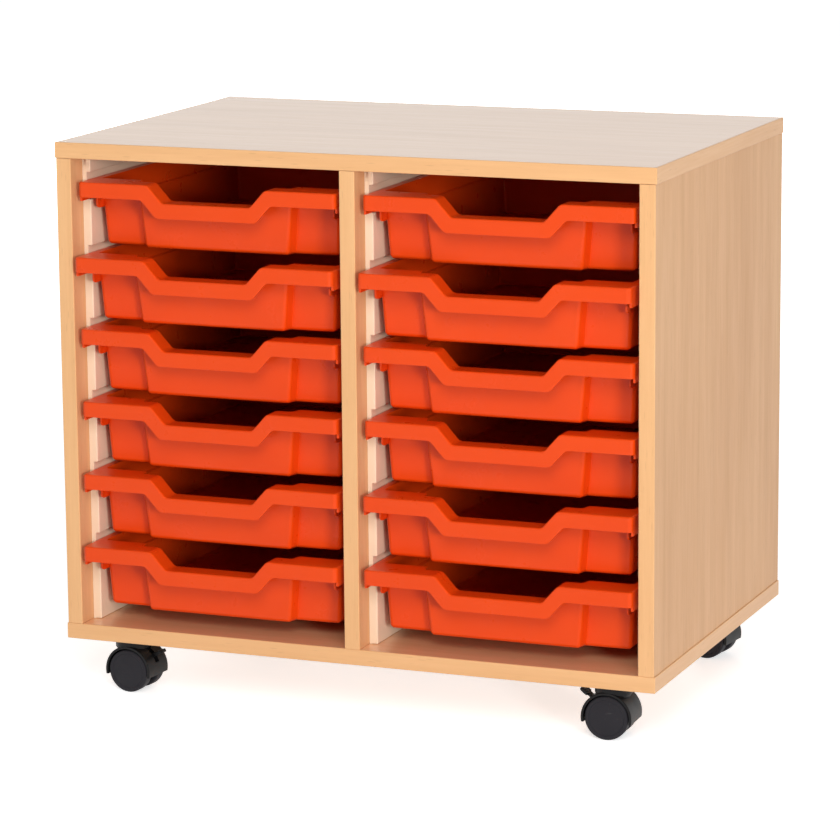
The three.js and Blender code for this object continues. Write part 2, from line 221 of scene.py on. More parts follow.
# where the rim bends across the hand dip, from the shoulder in to the floor: place and drop
def dipStations(shape):
    angle = math.atan2(shape["dipDepth"], shape["dipSlope"])
    fillet = shape["dipFillet"]
    tangent = fillet * math.tan(angle / 2)
    shoulder = shape["dipFloorHalf"] + shape["dipSlope"] + tangent
    floor = shape["dipFloorHalf"] - tangent
    steps = [angle * step / shape["dipSteps"] for step in range(shape["dipSteps"] + 1)]
    upper = [(shoulder - fillet * math.sin(t), fillet * (1 - math.cos(t))) for t in steps]
    lower = [(floor + fillet * math.sin(t), shape["dipDepth"] - fillet * (1 - math.cos(t))) for t in reversed(steps)]
    return upper + lower, angle


# the tray is one moulded sheet: its inside, rim and lip are shaped first, then it gets its thickness
def makeTray(size):
    shape = trayShape
    stations, angle = dipStations(shape)
    wall, depth = shape["wall"], size.y
    half = size.x / 2
    inner = half - shape["flangeReach"] - wall
    frontWall = shape["lipReach"] + shape["panelProud"] + wall
    backWall = depth - shape["lipReach"] - wall
    floor = wall - size.z
    spread = shape["endDrop"] * math.tan(angle / 2)
    panelHalf = shape["dipFloorHalf"] + shape["dipSlope"] + spread + shape["panelMargin"]
    panelBase = panelHalf + shape["panelFlank"]
    near = 0.05 * mm
    # the sides slope from the waist, under the shoulder, to the floor; here that slope runs up to the rim
    waist = inner - shape["shoulderStep"]
    waistDepth = shape["shoulderDepth"] + shape["shoulderSlope"] - wall
    sideSlope = shape["sideDraft"] / (-floor - waistDepth)
    boxHalf = waist + sideSlope * waistDepth
    footHalf = waist - shape["sideDraft"]
    obj = addBox("trayMaster", (-boxHalf, frontWall, floor), (boxHalf, backWall, 0))
    startEdit(obj)
    for place, drop in stations:
        cutAcross(0, place)
        cutAcross(0, -place)
    cutAcross(0, panelBase)
    cutAcross(0, -panelBase)
    # label panel, drawn forward of the front wall
    pick("FACE", lambda f: f.normal.y < -0.9 and abs(f.calc_center_median().x) < panelBase)
    bpy.ops.mesh.extrude_region_move(TRANSFORM_OT_translate={"value": (0, -shape["panelProud"], 0)})
    panelFace = frontWall - shape["panelProud"]
    for side in (-1, 1):
        pick("VERT", lambda v: v.co.x * side > panelBase - near and v.co.y < panelFace + near)
        bpy.ops.transform.translate(value=(-side * shape["panelFlank"], 0, 0))
    # draft of the walls towards the floor
    onFloor = floor + near
    for side in (-1, 1):
        pick("VERT", lambda v: v.co.z < onFloor and v.co.x * side > boxHalf - near)
        bpy.ops.transform.translate(value=(side * (footHalf - boxHalf), 0, 0))
        pick("VERT", lambda v: v.co.z < onFloor and panelHalf - near < v.co.x * side < panelBase + near and v.co.y < frontWall + near)
        bpy.ops.transform.translate(value=(-side * shape["panelTaper"], 0, 0))
    pick("VERT", lambda v: v.co.z < onFloor and v.co.y < frontWall + near)
    bpy.ops.transform.translate(value=(0, shape["endDraft"], 0))
    pick("VERT", lambda v: v.co.z < onFloor and v.co.y > backWall - near)
    bpy.ops.transform.translate(value=(0, -shape["endDraft"], 0))
    pick("FACE", lambda f: abs(f.normal.z) > 0.9 and f.calc_center_median().z > -near)
    bpy.ops.mesh.delete(type="FACE")
    # rounded uprights, then the rounded edge round the floor
    upright = lambda e: abs(span(e).z) > size.z / 2
    pick("EDGE", lambda e: upright(e) and abs(middle(e).x) > footHalf - near)
    bevelPicked(shape["cornerRound"], 3)
    onPanel = lambda e: panelHalf - shape["panelTaper"] - near < abs(middle(e).x) < panelBase + near
    pick("EDGE", lambda e: upright(e) and onPanel(e) and middle(e).y < panelFace + shape["endDraft"])
    bevelPicked(shape["panelRound"], 3)
    pick("EDGE", lambda e: upright(e) and onPanel(e) and frontWall - near < middle(e).y < frontWall + shape["endDraft"] and abs(middle(e).x) > panelHalf)
    bevelPicked(shape["flankRound"], 3)
    pick("EDGE", lambda e: max(v.co.z for v in e.verts) < onFloor and e.calc_face_angle(0) > 0.5)
    bevelPicked(shape["floorRound"], 3)
    # a shallow raised field in the floor
    fieldHalf = footHalf - shape["fieldMargin"]
    fieldFront = frontWall + shape["endDraft"] + shape["fieldMargin"]
    fieldBack = backWall - shape["endDraft"] - shape["fieldMargin"]
    for side in (-1, 1):
        pick("FACE", lambda f: abs(f.normal.z) > 0.99)
        bpy.ops.mesh.bisect(plane_co=(side * fieldHalf, 0, 0), plane_no=(1, 0, 0))
    for place in (fieldFront, fieldBack):
        pick("FACE", lambda f: abs(f.normal.z) > 0.99)
        bpy.ops.mesh.bisect(plane_co=(0, place, 0), plane_no=(0, 1, 0))
    inField = lambda c: abs(c.x) < fieldHalf and fieldFront < c.y < fieldBack
    pick("FACE", lambda f: abs(f.normal.z) > 0.99 and inField(f.calc_center_median()))
    bpy.ops.mesh.dissolve_faces()
    bpy.ops.mesh.inset(thickness=shape["fieldStep"], depth=0)
    bpy.ops.transform.translate(value=(0, 0, shape["fieldRise"]))
    # shoulder: above the waist the sides and their corners stand further out
    ledge = shape["shoulderSlope"] - waistDepth
    cutAcross(2, -waistDepth)
    cutAcross(2, ledge)
    for level in (ledge, 0):
        shift = shape["shoulderStep"] - sideSlope * (level + waistDepth)
        for side in (-1, 1):
            pick("VERT", lambda v: abs(v.co.z - level) < near and v.co.x * side > panelBase + shape["fieldMargin"])
            bpy.ops.transform.translate(value=(side * shift, 0, 0))
    wallFrom = {-1: frontWall, 1: backWall}
    # flange, drawn out to the tray's own outline in two rings
    cornerHalf = inner - shape["cornerRound"]
    lipCentre = half - shape["lipCorner"]
    fromRadius = shape["cornerRound"]
    for inset in (shape["rimRing"], 0):
        pick("EDGE", lambda e: e.is_boundary)
        bpy.ops.mesh.extrude_edges_move(TRANSFORM_OT_translate={"value": (0, 0, 0)})
        toRadius = shape["lipCorner"] - inset
        growth = toRadius / fromRadius
        for end, place, target in ((-1, wallFrom[-1], 0), (1, wallFrom[1], depth)):
            for side in (-1, 1):
                centre = Vector((side * cornerHalf, place - end * fromRadius, 0))
                move = Vector((side * lipCentre, target - end * shape["lipCorner"], 0)) - centre
                atCorner = lambda v: (v.co.x * side > cornerHalf - near
                                      and v.co.y * end > centre.y * end - near)
                pick("VERT", lambda v: v.is_boundary and atCorner(v))
                bpy.ops.transform.resize(value=(growth, growth, 1), center_override=centre)
                bpy.ops.transform.translate(value=move)
            pick("VERT", lambda v: v.is_boundary and abs(v.co.x) < cornerHalf - near
                 and (v.co.y - depth / 2) * end > 0)
            bpy.ops.transform.resize(value=(1, 0, 1), center_override=(0, target - end * inset, 0))
        cornerHalf, fromRadius = lipCentre, toRadius
        wallFrom = {-1: inset, 1: depth - inset}
    # lip, turned down all round and deeper along the sides
    pick("EDGE", lambda e: e.is_boundary)
    bpy.ops.mesh.extrude_edges_move(TRANSFORM_OT_translate={"value": (0, 0, -shape["endDrop"])})
    for place in (shape["lipStep"], depth - shape["lipStep"]):
        pick("FACE", lambda f: abs(f.normal.x) > 0.9 and abs(f.calc_center_median().x) > half - near)
        bpy.ops.mesh.bisect(plane_co=(0, place, 0), plane_no=(0, 1, 0))
    alongSide = lambda v: shape["lipStep"] - near < v.co.y < depth - shape["lipStep"] + near
    pick("VERT", lambda v: v.is_boundary and abs(v.co.x) > half - near and alongSide(v))
    bpy.ops.transform.translate(value=(0, 0, shape["endDrop"] - shape["sideDrop"]))
    # hand dip at both ends, with the foot of the lip spread at its slopes
    atEnd = lambda v: v.co.y < frontWall + near or v.co.y > backWall - near
    for place, drop in stations:
        pick("VERT", lambda v: abs(abs(v.co.x) - place) < near and atEnd(v)
             and v.co.z > -shape["endDrop"] - near)
        bpy.ops.transform.translate(value=(0, 0, -drop))
    shoulder = stations[0][0] + near
    for side in (-1, 1):
        pick("VERT", lambda v: v.is_boundary and 0 < v.co.x * side < shoulder)
        bpy.ops.transform.translate(value=(side * spread, 0, 0))
    bpy.ops.mesh.select_all(action="SELECT")
    bpy.ops.mesh.normals_make_consistent(inside=False)
    endEdit()
    lowest = min(obj.data.polygons, key=lambda face: face.center.z)
    if lowest.normal.z < 0:
        flipNormals(obj)
    applyModifier(obj, "SOLIDIFY", thickness=wall, offset=-1, use_even_offset=True, use_rim=True)
    # rounded rim and mouth, then the small edges of the lip
    def onRim(edge):
        levels = sorted(face.normal.z for face in edge.link_faces)
        return edge.is_convex and abs(levels[0]) < 0.3 and levels[-1] > 0.5
    outside = lambda e: (abs(middle(e).x) > half - shape["lipCorner"]
                         or not shape["lipCorner"] < middle(e).y < depth - shape["lipCorner"])
    startEdit(obj)
    pick("EDGE", lambda e: onRim(e) and outside(e))
    bevelPicked(shape["rimRound"], 3)
    pick("EDGE", lambda e: onRim(e) and not outside(e) and middle(e).z > -shape["dipDepth"] - wall)
    bevelPicked(shape["mouthRound"], 2)
    endEdit()
    mergeClose(obj, near)
    roundEdges(obj, shape["lipEdge"], 2, 60)
    mergeClose(obj, 0.01 * mm)
    return obj


# a web under the rim beside each front corner, from the side wall forward towards the lip
def makeRib(size):
    shape = ribShape
    right = size.x / 2 - trayShape["flangeReach"] - shape["fromEdge"]
    wallFace = trayShape["lipReach"] + trayShape["panelProud"]
    low = (right - shape["thick"], wallFace - shape["proud"], -shape["below"])
    high = (right, wallFace + shape["sunk"], shape["edge"] - trayShape["wall"])
    obj = addBox("ribMaster", low, high)
    startEdit(obj)
    pick("EDGE", lambda e: middle(e).y < low[1] + shape["edge"] and middle(e).z < low[2] + shape["edge"])
    bevelPicked(shape["footRound"], 5)
    endEdit()
    roundEdges(obj, shape["edge"], 2, 40)
    return obj


def makeTrays(material):
    low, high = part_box("left_tray_1")
    size = high - low
    master = makeTray(size)
    rib = makeRib(size)
    otherRib = copyPiece(rib, "otherRib", Matrix.Scale(-1, 4, (1, 0, 0)))
    flipNormals(otherRib)
    master = joinPieces("trayMaster", [master, rib, otherRib])
    smoothByAngle(master, 35)
    for bay in bays:
        for row in range(1, rowCount + 1):
            node = f"{bay}_tray_{row}"
            low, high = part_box(node)
            place = Matrix.Translation(((low.x + high.x) / 2, low.y, high.z))
            fitPiece(copyPiece(master, f"{node}_moulding", place), material, node, "tray_plastic", node)
    bpy.data.objects.remove(master)
    print("trays done")


# boards and their edging

boardShape = {"edge": 0.15 * mm, "bandEdge": 1 * mm, "bandWidth": 1.5 * mm}
boardGrain = {"top_panel": "x", "base_panel": "x", "left_side_panel": "z", "right_side_panel": "z",
              "centre_divider": "z", "back_panel": "z"}


def makeBoards(materials):
    for node, grain in boardGrain.items():
        obj = addBox(f"{node}_board", *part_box(node))
        startEdit(obj)
        bpy.ops.mesh.select_all(action="SELECT")
        bevelPicked(boardShape["edge"], 2)
        endEdit()
        smoothByAngle(obj, 35)
        fitPiece(obj, materials[grain], "cabinet", "beech_board", node)


# edging round the whole board: a block hollowed from top to bottom, with its outer edges rounded
def makeRingBands(material):
    for name in ("top", "base"):
        node = f"{name}_edge_band"
        low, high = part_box(node)
        obj = addBox(f"{node}_strip", low, high)
        startEdit(obj)
        pick("FACE", lambda f: abs(f.normal.z) > 0.9)
        bpy.ops.mesh.inset(thickness=boardShape["bandWidth"], depth=0, use_individual=True)
        bpy.ops.mesh.bridge_edge_loops()
        onOuter = lambda v: min(v.co.x - low.x, high.x - v.co.x, v.co.y - low.y, high.y - v.co.y) < 0.1 * mm
        pick("EDGE", lambda e: all(onOuter(v) for v in e.verts) and e.calc_face_angle(0) > 0.5)
        bevelPicked(boardShape["bandEdge"], 4)
        endEdit()
        smoothByAngle(obj, 40)
        fitPiece(obj, material, "cabinet", "beech_edging", node)


def makeStripBands(material):
    for node in ("left_side_edge_band", "right_side_edge_band", "divider_edge_band"):
        low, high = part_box(node)
        obj = addBox(f"{node}_strip", low, high)
        startEdit(obj)
        pick("EDGE", lambda e: middle(e).y < low.y + 0.1 * mm and abs(span(e).z) > 1 * mm)
        bevelPicked(boardShape["bandEdge"], 4)
        endEdit()
        smoothByAngle(obj, 40)
        fitPiece(obj, material, "cabinet", "beech_edging", node)


# runner panels

runnerShape = {"web": 5 * mm, "lift": 0.3 * mm, "headroom": 8 * mm, "stop": 16.3 * mm, "edge": 1.2 * mm,
               "screwRows": (1, 3, 6), "screwInset": 40 * mm, "screwRadius": 4 * mm, "screwProud": 0.4 * mm}


def grooveLevels():
    levels = []
    for row in range(rowCount, 0, -1):
        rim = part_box(f"left_tray_{row}")[1].z
        levels.append((rim - trayShape["sideDrop"] - runnerShape["lift"], rim + runnerShape["headroom"]))
    return levels


# a web with ridges drawn out between the grooves, and a full-height stop at the back
def makeRunner(low, high):
    shape = runnerShape
    levels = grooveLevels()
    webFace = low.x + shape["web"]
    stopFace = high.y - shape["stop"]
    obj = addBox("runnerMaster", low, (webFace, high.y, high.z))
    startEdit(obj)
    for ledge, ceiling in levels:
        cutAcross(2, ledge)
        cutAcross(2, ceiling)
    cutAcross(1, stopFace)
    inGroove = lambda c: c.y < stopFace and any(a < c.z < b for a, b in levels)
    pick("FACE", lambda f: f.normal.x > 0.9 and not inGroove(f.calc_center_median()))
    bpy.ops.mesh.extrude_region_move(TRANSFORM_OT_translate={"value": (high.x - webFace, 0, 0)})
    sharp = lambda e: len(e.link_faces) == 2 and e.calc_face_angle(0) > 1 and e.is_convex
    pick("EDGE", lambda e: sharp(e) and middle(e).x > webFace + 0.1 * mm and middle(e).y < stopFace + 0.1 * mm)
    bevelPicked(shape["edge"], 3)
    endEdit()
    return obj


# a cross-slot screw with its head towards +X
def makeScrew(name, radius, proud, domed):
    obj = addRod(name, radius, (-2 * mm, 0, 0), (proud, 0, 0), 24)
    startEdit(obj)
    pick("EDGE", lambda e: all(v.co.x > proud - 0.01 * mm for v in e.verts))
    bevelPicked(proud * domed, 4)
    endEdit()
    arm, half, deep = 0.55 * radius, 0.12 * radius, 1.2 * mm
    for low, high in (((0, -arm, -half), (0, arm, half)), ((0, -half, -arm), (0, half, arm))):
        tool = addBox("slotTool", (proud - deep, low[1], low[2]), (proud + deep, high[1], high[2]))
        cutWith(obj, tool, "DIFFERENCE")
    return obj


def makeRunners(material, steel):
    shape = runnerShape
    low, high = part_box("left_bay_left_runner")
    master = makeRunner(low, high)
    screw = makeScrew("runnerScrew", shape["screwRadius"], shape["screwProud"], 0.6)
    middleGroove = [(a + b) / 2 for a, b in reversed(grooveLevels())]
    for bay in bays:
        for hand in bays:
            node = f"{bay}_bay_{hand}_runner"
            nodeLow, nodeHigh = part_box(node)
            facesRight = hand == "left"
            if facesRight:
                place = Matrix.Translation((nodeLow.x - low.x, 0, 0))
            else:
                place = Matrix.Translation((nodeHigh.x + low.x, 0, 0)) @ Matrix.Scale(-1, 4, (1, 0, 0))
            panel = copyPiece(master, f"{node}_panel", place)
            spots = [(y, middleGroove[row - 1]) for row in shape["screwRows"]
                     for y in (low.y + shape["screwInset"], high.y - 2 * shape["screwInset"])]
            screws = [copyPiece(screw, "runnerScrewCopy", place @ Matrix.Translation((low.x + shape["web"], y, z)))
                      for y, z in spots]
            group = joinPieces(f"{node}_screws", screws)
            if not facesRight:
                flipNormals(panel)
                flipNormals(group)
            smoothByAngle(panel, 40)
            smoothByAngle(group, 40)
            fitPiece(panel, material, "cabinet", "runner_plastic", node)
            fitPiece(group, steel, "cabinet", "castor_steel")
    bpy.data.objects.remove(master)
    bpy.data.objects.remove(screw)
    print("runner panels done")


# castors, modelled about the swivel axis with the wheels towards +X, then turned into place

castorShape = {
    "wheelInner": 7 * mm, "discEdge": 20.5 * mm, "treadRound": 2.2 * mm, "rimWidth": 2 * mm, "rimStep": 0.6 * mm,
    "domeRings": ((8 * mm, 1.1 * mm), (7 * mm, 0.5 * mm)), "recessRim": 4 * mm, "recessDepth": 7 * mm,
    "hubRadius": 7 * mm, "hubLength": 6.5 * mm, "boreRadius": 3.3 * mm, "boreEnd": 18.2 * mm,
    "hoodInner": 26.2 * mm, "hoodOuter": 29 * mm, "hoodHalf": 21.2 * mm, "skirt": 5.5 * mm, "web": 6.2 * mm,
    "bossRadius": 9 * mm, "turretRadius": 21 * mm, "turretBelt": 11 * mm, "turretTaper": 9 * mm,
    "turretWaist": 15 * mm, "turretShift": 6 * mm, "pinHole": 5.3 * mm, "pinDepth": 12.3 * mm, "edge": 0.8 * mm, "sides": 72,
}
brakeShape = {
    "slotFrom": 13.5 * mm, "slotHalf": 3.8 * mm, "slotLow": 18, "slotHigh": 58, "pinHole": 1.8 * mm,
    "tilt": {"front_left": 26, "front_right": 38}, "hub": 4 * mm, "armHalf": 3.5 * mm, "thickHalf": 2 * mm, "paddleFrom": 14 * mm,
    "paddleEnd": 25 * mm, "paddleHalf": 7 * mm, "tipRound": 4 * mm, "edge": 0.6 * mm,
    "ribs": (17 * mm, 19.2 * mm, 21.4 * mm), "ribRadius": 0.7 * mm,
}
plateShape = {"corner": 6 * mm, "edge": 0.4 * mm, "screwInset": 7 * mm, "screwRadius": 3.8 * mm,
              "screwProud": 2 * mm}


# swivel axis, wheel axle and turn of one castor, from the joints
def castorPlace(corner):
    swivel = Vector(joints[f"{corner}_castor_swivel"]["pos_m"])
    spin = joints[f"{corner}_castor_wheel_2_spin"]
    axle = Vector(spin["pos_m"])
    turn = math.atan2(-spin["axis"][0], spin["axis"][1])
    return swivel, axle, Matrix.Rotation(turn, 4, "Z")


# one wheel about the origin, with its axle along Y and its dished disc towards +Y
def makeWheel(radius):
    shape = castorShape
    obj = addRod("wheelMaster", radius, (0, shape["wheelInner"], 0), (0, shape["discEdge"], 0), shape["sides"])
    startEdit(obj)
    pick("FACE", lambda f: f.normal.y > 0.9)
    bpy.ops.mesh.inset(thickness=shape["treadRound"] + shape["rimWidth"], depth=0)
    bpy.ops.mesh.inset(thickness=shape["rimStep"], depth=0)
    bpy.ops.transform.translate(value=(0, -shape["rimStep"], 0))
    for width, rise in shape["domeRings"]:
        bpy.ops.mesh.inset(thickness=width, depth=0)
        bpy.ops.transform.translate(value=(0, rise, 0))
    pick("FACE", lambda f: f.normal.y < -0.9)
    bpy.ops.mesh.inset(thickness=shape["recessRim"], depth=0)
    bpy.ops.mesh.extrude_region_move(TRANSFORM_OT_translate={"value": (0, shape["recessDepth"], 0)})
    bpy.ops.mesh.inset(thickness=radius - shape["recessRim"] - shape["hubRadius"], depth=0)
    bpy.ops.mesh.extrude_region_move(TRANSFORM_OT_translate={"value": (0, -shape["hubLength"], 0)})
    bpy.ops.mesh.inset(thickness=shape["hubRadius"] - shape["boreRadius"], depth=0)
    boreLength = shape["boreEnd"] - shape["wheelInner"] - shape["recessDepth"] + shape["hubLength"]
    bpy.ops.mesh.extrude_region_move(TRANSFORM_OT_translate={"value": (0, boreLength, 0)})
    onTread = lambda e: all(math.hypot(v.co.x, v.co.z) > radius - 0.1 * mm for v in e.verts)
    pick("EDGE", lambda e: onTread(e) and e.calc_face_angle(0) > 1)
    bevelPicked(shape["treadRound"], 4)
    endEdit()
    smoothByAngle(obj, 30)
    return obj


# a wedge that cuts the brake lever's slot, about the wheel axle
def addSlotTool():
    shape = brakeShape
    far = 2 * castorShape["hoodOuter"]
    spread = math.tan(math.radians(shape["slotHigh"] - shape["slotLow"]) / 2)
    near, half = shape["slotFrom"], shape["slotHalf"]
    tool = addBox("slotTool", (near, -half, -near * spread), (far, half, near * spread))
    startEdit(tool)
    pick("VERT", lambda v: v.co.x > (near + far) / 2)
    bpy.ops.transform.resize(value=(1, 1, far / near), center_override=(far, 0, 0))
    endEdit()
    middleAngle = math.radians(shape["slotHigh"] + shape["slotLow"]) / 2
    tool.data.transform(Matrix.Rotation(-middleAngle, 4, "Y"))
    return tool


# half a barrel over both wheels, with a flared turret on top and a web between the wheels
def makeHood(hasBrake, trail, axleHeight, turretTop):
    shape = castorShape
    half, far = shape["hoodHalf"], 2 * shape["hoodHalf"]
    sides = shape["sides"]
    axle = Vector((trail, 0, axleHeight))
    alongAxle = lambda y: axle + Vector((0, y, 0))
    hood = addRod("hoodMaster", shape["hoodOuter"], alongAxle(-half), alongAxle(half), sides)
    roundEdges(hood, shape["edge"], 3, 35)
    startEdit(hood)
    bpy.ops.mesh.select_all(action="SELECT")
    bpy.ops.mesh.bisect(plane_co=(0, 0, axleHeight - shape["skirt"]), plane_no=(0, 0, 1),
                        use_fill=True, clear_inner=True)
    endEdit()
    turretFoot = turretTop - shape["turretBelt"] - shape["turretTaper"]
    centre = shape["turretShift"]
    turret = addRod("turret", shape["turretRadius"], (centre, 0, turretFoot), (centre, 0, turretTop), sides)
    startEdit(turret)
    cutAcross(2, turretTop - shape["turretBelt"])
    waist = shape["turretWaist"] / shape["turretRadius"]
    pick("VERT", lambda v: v.co.z < turretFoot + 0.1 * mm)
    bpy.ops.transform.resize(value=(waist, waist, 1), center_override=(centre, 0, turretFoot))
    endEdit()
    roundEdges(turret, shape["edge"], 3, 50)
    cutWith(hood, turret, "UNION")
    web = shape["web"]
    cutWith(hood, addRod("boss", shape["bossRadius"], alongAxle(-web), alongAxle(web), sides // 2), "UNION")
    for side in (-1, 1):
        well = addRod("well", shape["hoodInner"], alongAxle(side * web), alongAxle(side * far), sides)
        cutWith(hood, well, "DIFFERENCE")
    pinTop = turretTop + shape["pinDepth"]
    pinTool = addRod("pinTool", shape["pinHole"], (0, 0, turretTop - shape["pinDepth"]), (0, 0, pinTop), sides // 2)
    cutWith(hood, pinTool, "DIFFERENCE")
    axleTool = addRod("axleTool", shape["boreRadius"], alongAxle(-far), alongAxle(far), sides // 2)
    cutWith(hood, axleTool, "DIFFERENCE")
    if hasBrake:
        slot = addSlotTool()
        slot.data.transform(Matrix.Translation(axle))
        cutWith(hood, slot, "DIFFERENCE")
    smoothByAngle(hood, 35)
    return hood


# the brake lever lies along +X from its pivot: hub, arm and a ribbed paddle for the toe
def makeLever():
    shape = brakeShape
    arm, thick = shape["armHalf"], shape["thickHalf"]
    lever = addBox("leverMaster", (0, -arm, -thick), (shape["paddleFrom"], arm, thick))
    startEdit(lever)
    pick("FACE", lambda f: f.normal.x > 0.9)
    bpy.ops.mesh.extrude_region_move(TRANSFORM_OT_translate={"value": (1 * mm, 0, 0)})
    bpy.ops.transform.resize(value=(1, shape["paddleHalf"] / arm, 1), center_override=(0, 0, 0))
    reach = shape["paddleEnd"] - shape["paddleFrom"] - 1 * mm
    bpy.ops.mesh.extrude_region_move(TRANSFORM_OT_translate={"value": (reach, 0, 0)})
    pick("EDGE", lambda e: middle(e).x > shape["paddleEnd"] - 0.1 * mm and abs(span(e).z) > thick)
    bevelPicked(shape["tipRound"], 6)
    endEdit()
    roundEdges(lever, shape["edge"], 3, 50)
    hub = addRod("hub", shape["hub"], (0, -arm, 0), (0, arm, 0), 36)
    roundEdges(hub, shape["edge"], 3, 50)
    cutWith(lever, hub, "UNION")
    ribHalf = shape["paddleHalf"] - shape["tipRound"] / 2
    for place in shape["ribs"]:
        rib = addRod("rib", shape["ribRadius"], (place, -ribHalf, thick), (place, ribHalf, thick), 16)
        roundEdges(rib, shape["ribRadius"] / 2, 2, 50)
        cutWith(lever, rib, "UNION")
    mergeClose(lever, 0.01 * mm)
    smoothByAngle(lever, 40)
    return lever


# the mounting plate under the base, and the four screws through it
def makePlate(corner, platePaint, steel, screw):
    shape = plateShape
    node = f"{corner}_castor_plate"
    low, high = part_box(node)
    obj = addBox(f"{corner}_mounting_plate", low, high)
    startEdit(obj)
    pick("EDGE", lambda e: abs(span(e).z) > 1 * mm)
    bevelPicked(shape["corner"], 6)
    endEdit()
    roundEdges(obj, shape["edge"], 2, 50)
    smoothByAngle(obj, 35)
    fitPiece(obj, platePaint, "cabinet", "castor_plate", node)
    headDown = Matrix.Rotation(math.radians(90), 4, "Y")
    inset = shape["screwInset"]
    spots = [(x, y) for x in (low.x + inset, high.x - inset) for y in (low.y + inset, high.y - inset)]
    screws = [copyPiece(screw, "plateScrew", Matrix.Translation((x, y, low.z)) @ headDown) for x, y in spots]
    group = joinPieces(f"{corner}_plate_screws", screws)
    smoothByAngle(group, 40)
    fitPiece(group, steel, "cabinet", "castor_steel")


def makeCastors(materials):
    swivel, axle, turn = castorPlace(corners[0])
    trail = (axle - swivel).to_2d().length
    hoods = {hasBrake: makeHood(hasBrake, trail, axle.z, swivel.z) for hasBrake in (False, True)}
    wheel = makeWheel(axle.z)
    lever = makeLever()
    screw = makeScrew("plateScrew", plateShape["screwRadius"], plateShape["screwProud"], 0.8)
    halfTurn = Matrix.Rotation(math.pi, 4, "Z")
    for corner in corners:
        swivel, axle, turn = castorPlace(corner)
        hasBrake = corner in brakedCorners
        upright = Matrix.Translation((swivel.x, swivel.y, 0)) @ turn
        hood = copyPiece(hoods[hasBrake], f"{corner}_hood", upright)
        fitPiece(hood, materials["hood"], f"{corner}_swivel", "castor_plastic", f"{corner}_castor_hood")
        for number, facing in ((1, halfTurn), (2, Matrix())):
            node = f"{corner}_castor_wheel_{number}"
            piece = copyPiece(wheel, f"{corner}_wheel_{number}", Matrix.Translation(axle) @ turn @ facing)
            fitPiece(piece, materials["wheel"], node, "wheel_plastic", node)
        if hasBrake:
            node = f"{corner}_brake_lever"
            pivot = Matrix.Translation(joints[f"{corner}_brake_press"]["pos_m"])
            tilt = Matrix.Rotation(-math.radians(brakeShape["tilt"][corner]), 4, "Y")
            piece = copyPiece(lever, f"{corner}_lever", pivot @ turn @ tilt)
            fitPiece(piece, materials["hood"], node, "castor_plastic", node)
        makePlate(corner, materials["plate"], materials["steel"], screw)
    for master in (*hoods.values(), wheel, lever, screw):
        bpy.data.objects.remove(master)
    print("castors done")


# the axles, kingpins and brake pins keep their own solids
def finishPins(steel):
    pinWords = ("axle", "kingpin", "brake_pin")
    for name, node in frame["nodes"].items():
        if name.endswith(pinWords):
            node.data.materials.clear()
            node.data.materials.append(steel)


# node helpers

def addNode(tree, kind, inputs=None, **settings):
    node = tree.nodes.new(kind)
    for key, value in settings.items():
        setattr(node, key, value)
    for key, value in (inputs or {}).items():
        if isinstance(value, bpy.types.NodeSocket):
            tree.links.new(value, node.inputs[key])
        else:
            node.inputs[key].default_value = value
    return node


def addNoise(tree, vector, scale, detail, roughness=0.5):
    settings = {"Vector": vector, "Scale": scale, "Detail": detail, "Roughness": roughness}
    return addNode(tree, "ShaderNodeTexNoise", settings).outputs["Fac"]


def stretch(tree, vector, factors):
    node = addNode(tree, "ShaderNodeVectorMath", {0: vector, 1: factors}, operation="MULTIPLY")
    return node.outputs["Vector"]


def remap(tree, value, fromLow, fromHigh, toLow, toHigh):
    settings = {"Value": value, "From Min": fromLow, "From Max": fromHigh, "To Min": toLow, "To Max": toHigh}
    return addNode(tree, "ShaderNodeMapRange", settings).outputs["Result"]


def math2(tree, operation, first, second):
    return addNode(tree, "ShaderNodeMath", {0: first, 1: second}, operation=operation).outputs[0]


def mixColor(tree, factor, first, second, blendType="MIX"):
    node = addNode(tree, "ShaderNodeMix", data_type="RGBA", blend_type=blendType)
    for index, value in ((0, factor), (6, first), (7, second)):
        if isinstance(value, bpy.types.NodeSocket):
            tree.links.new(value, node.inputs[index])
        else:
            node.inputs[index].default_value = value
    return node.outputs[2]


def newGroup(name, inputs, outputs):
    group = bpy.data.node_groups.new(name, "ShaderNodeTree")
    for label, kind, value in inputs:
        socket = group.interface.new_socket(label, in_out="INPUT", socket_type=f"NodeSocket{kind}")
        socket.default_value = value
    for label, kind in outputs:
        group.interface.new_socket(label, in_out="OUTPUT", socket_type=f"NodeSocket{kind}")
    return group, addNode(group, "NodeGroupInput"), addNode(group, "NodeGroupOutput")


def newMaterial(name):
    material = bpy.data.materials.new(name)
    material.use_nodes = True
    tree = material.node_tree
    tree.nodes.clear()
    shader = addNode(tree, "ShaderNodeBsdfPrincipled")
    addNode(tree, "ShaderNodeOutputMaterial", {"Surface": shader.outputs["BSDF"]})
    return material, tree, shader


def placeGroup(tree, group, inputs):
    node = tree.nodes.new("ShaderNodeGroup")
    node.node_tree = group
    for key, value in inputs.items():
        if isinstance(value, bpy.types.NodeSocket):
            tree.links.new(value, node.inputs[key])
        else:
            node.inputs[key].default_value = value
    return node.outputs


def objectCoordinates(tree):
    return addNode(tree, "ShaderNodeTexCoord").outputs["Object"]


def addBump(tree, shader, height, distance, strength):
    settings = {"Height": height, "Distance": distance, "Strength": strength}
    bump = addNode(tree, "ShaderNodeBump", settings)
    tree.links.new(bump.outputs["Normal"], shader.inputs["Normal"])


# shared finishes

